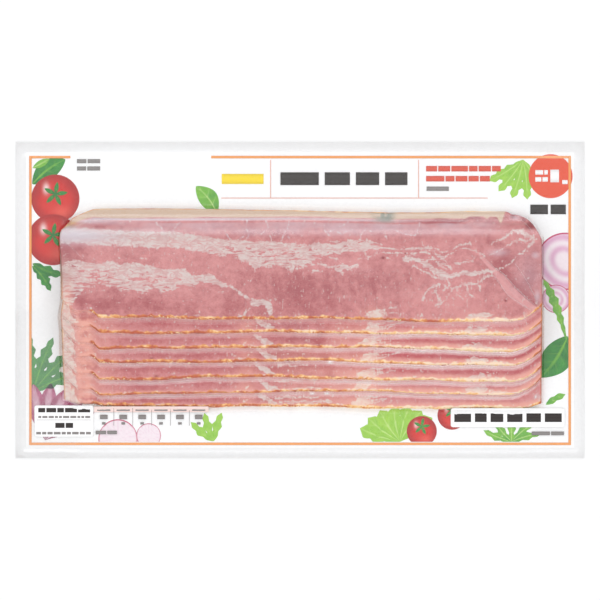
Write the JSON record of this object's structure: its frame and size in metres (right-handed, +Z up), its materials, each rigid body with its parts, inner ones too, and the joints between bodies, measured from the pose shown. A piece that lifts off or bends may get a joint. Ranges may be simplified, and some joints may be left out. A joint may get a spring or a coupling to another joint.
{
  "type": "bacon pack",
  "caption": "Flat vacuum pack of sliced bacon: long thin slices shingled on a printed backing web, under a clear film sealed to it all round. Lies on its back with the meat showing.",
  "frame": {"origin": "under the middle of the pack, on the surface it lies on", "axes": "+X along the slices to the right, +Y across the pack towards the slices' rind edge, +Z up out of the window"},
  "size_m": [0.25, 0.139, 0.0145],
  "materials": {
    "web": "white laminate film printed in flat colours",
    "slice": "raw smoked pork, moist, pink lean streaked with pale fat",
    "film": "clear glossy vacuum film drawn tight over the meat"
  },
  "bodies": {
    "root": {"backing_web": "web", "bacon_slice_1": "slice", "bacon_slice_2": "slice", "bacon_slice_3": "slice", "bacon_slice_4": "slice", "bacon_slice_5": "slice", "bacon_slice_6": "slice", "bacon_slice_7": "slice", "clear_film": "film"}
  },
  "joints": []
}
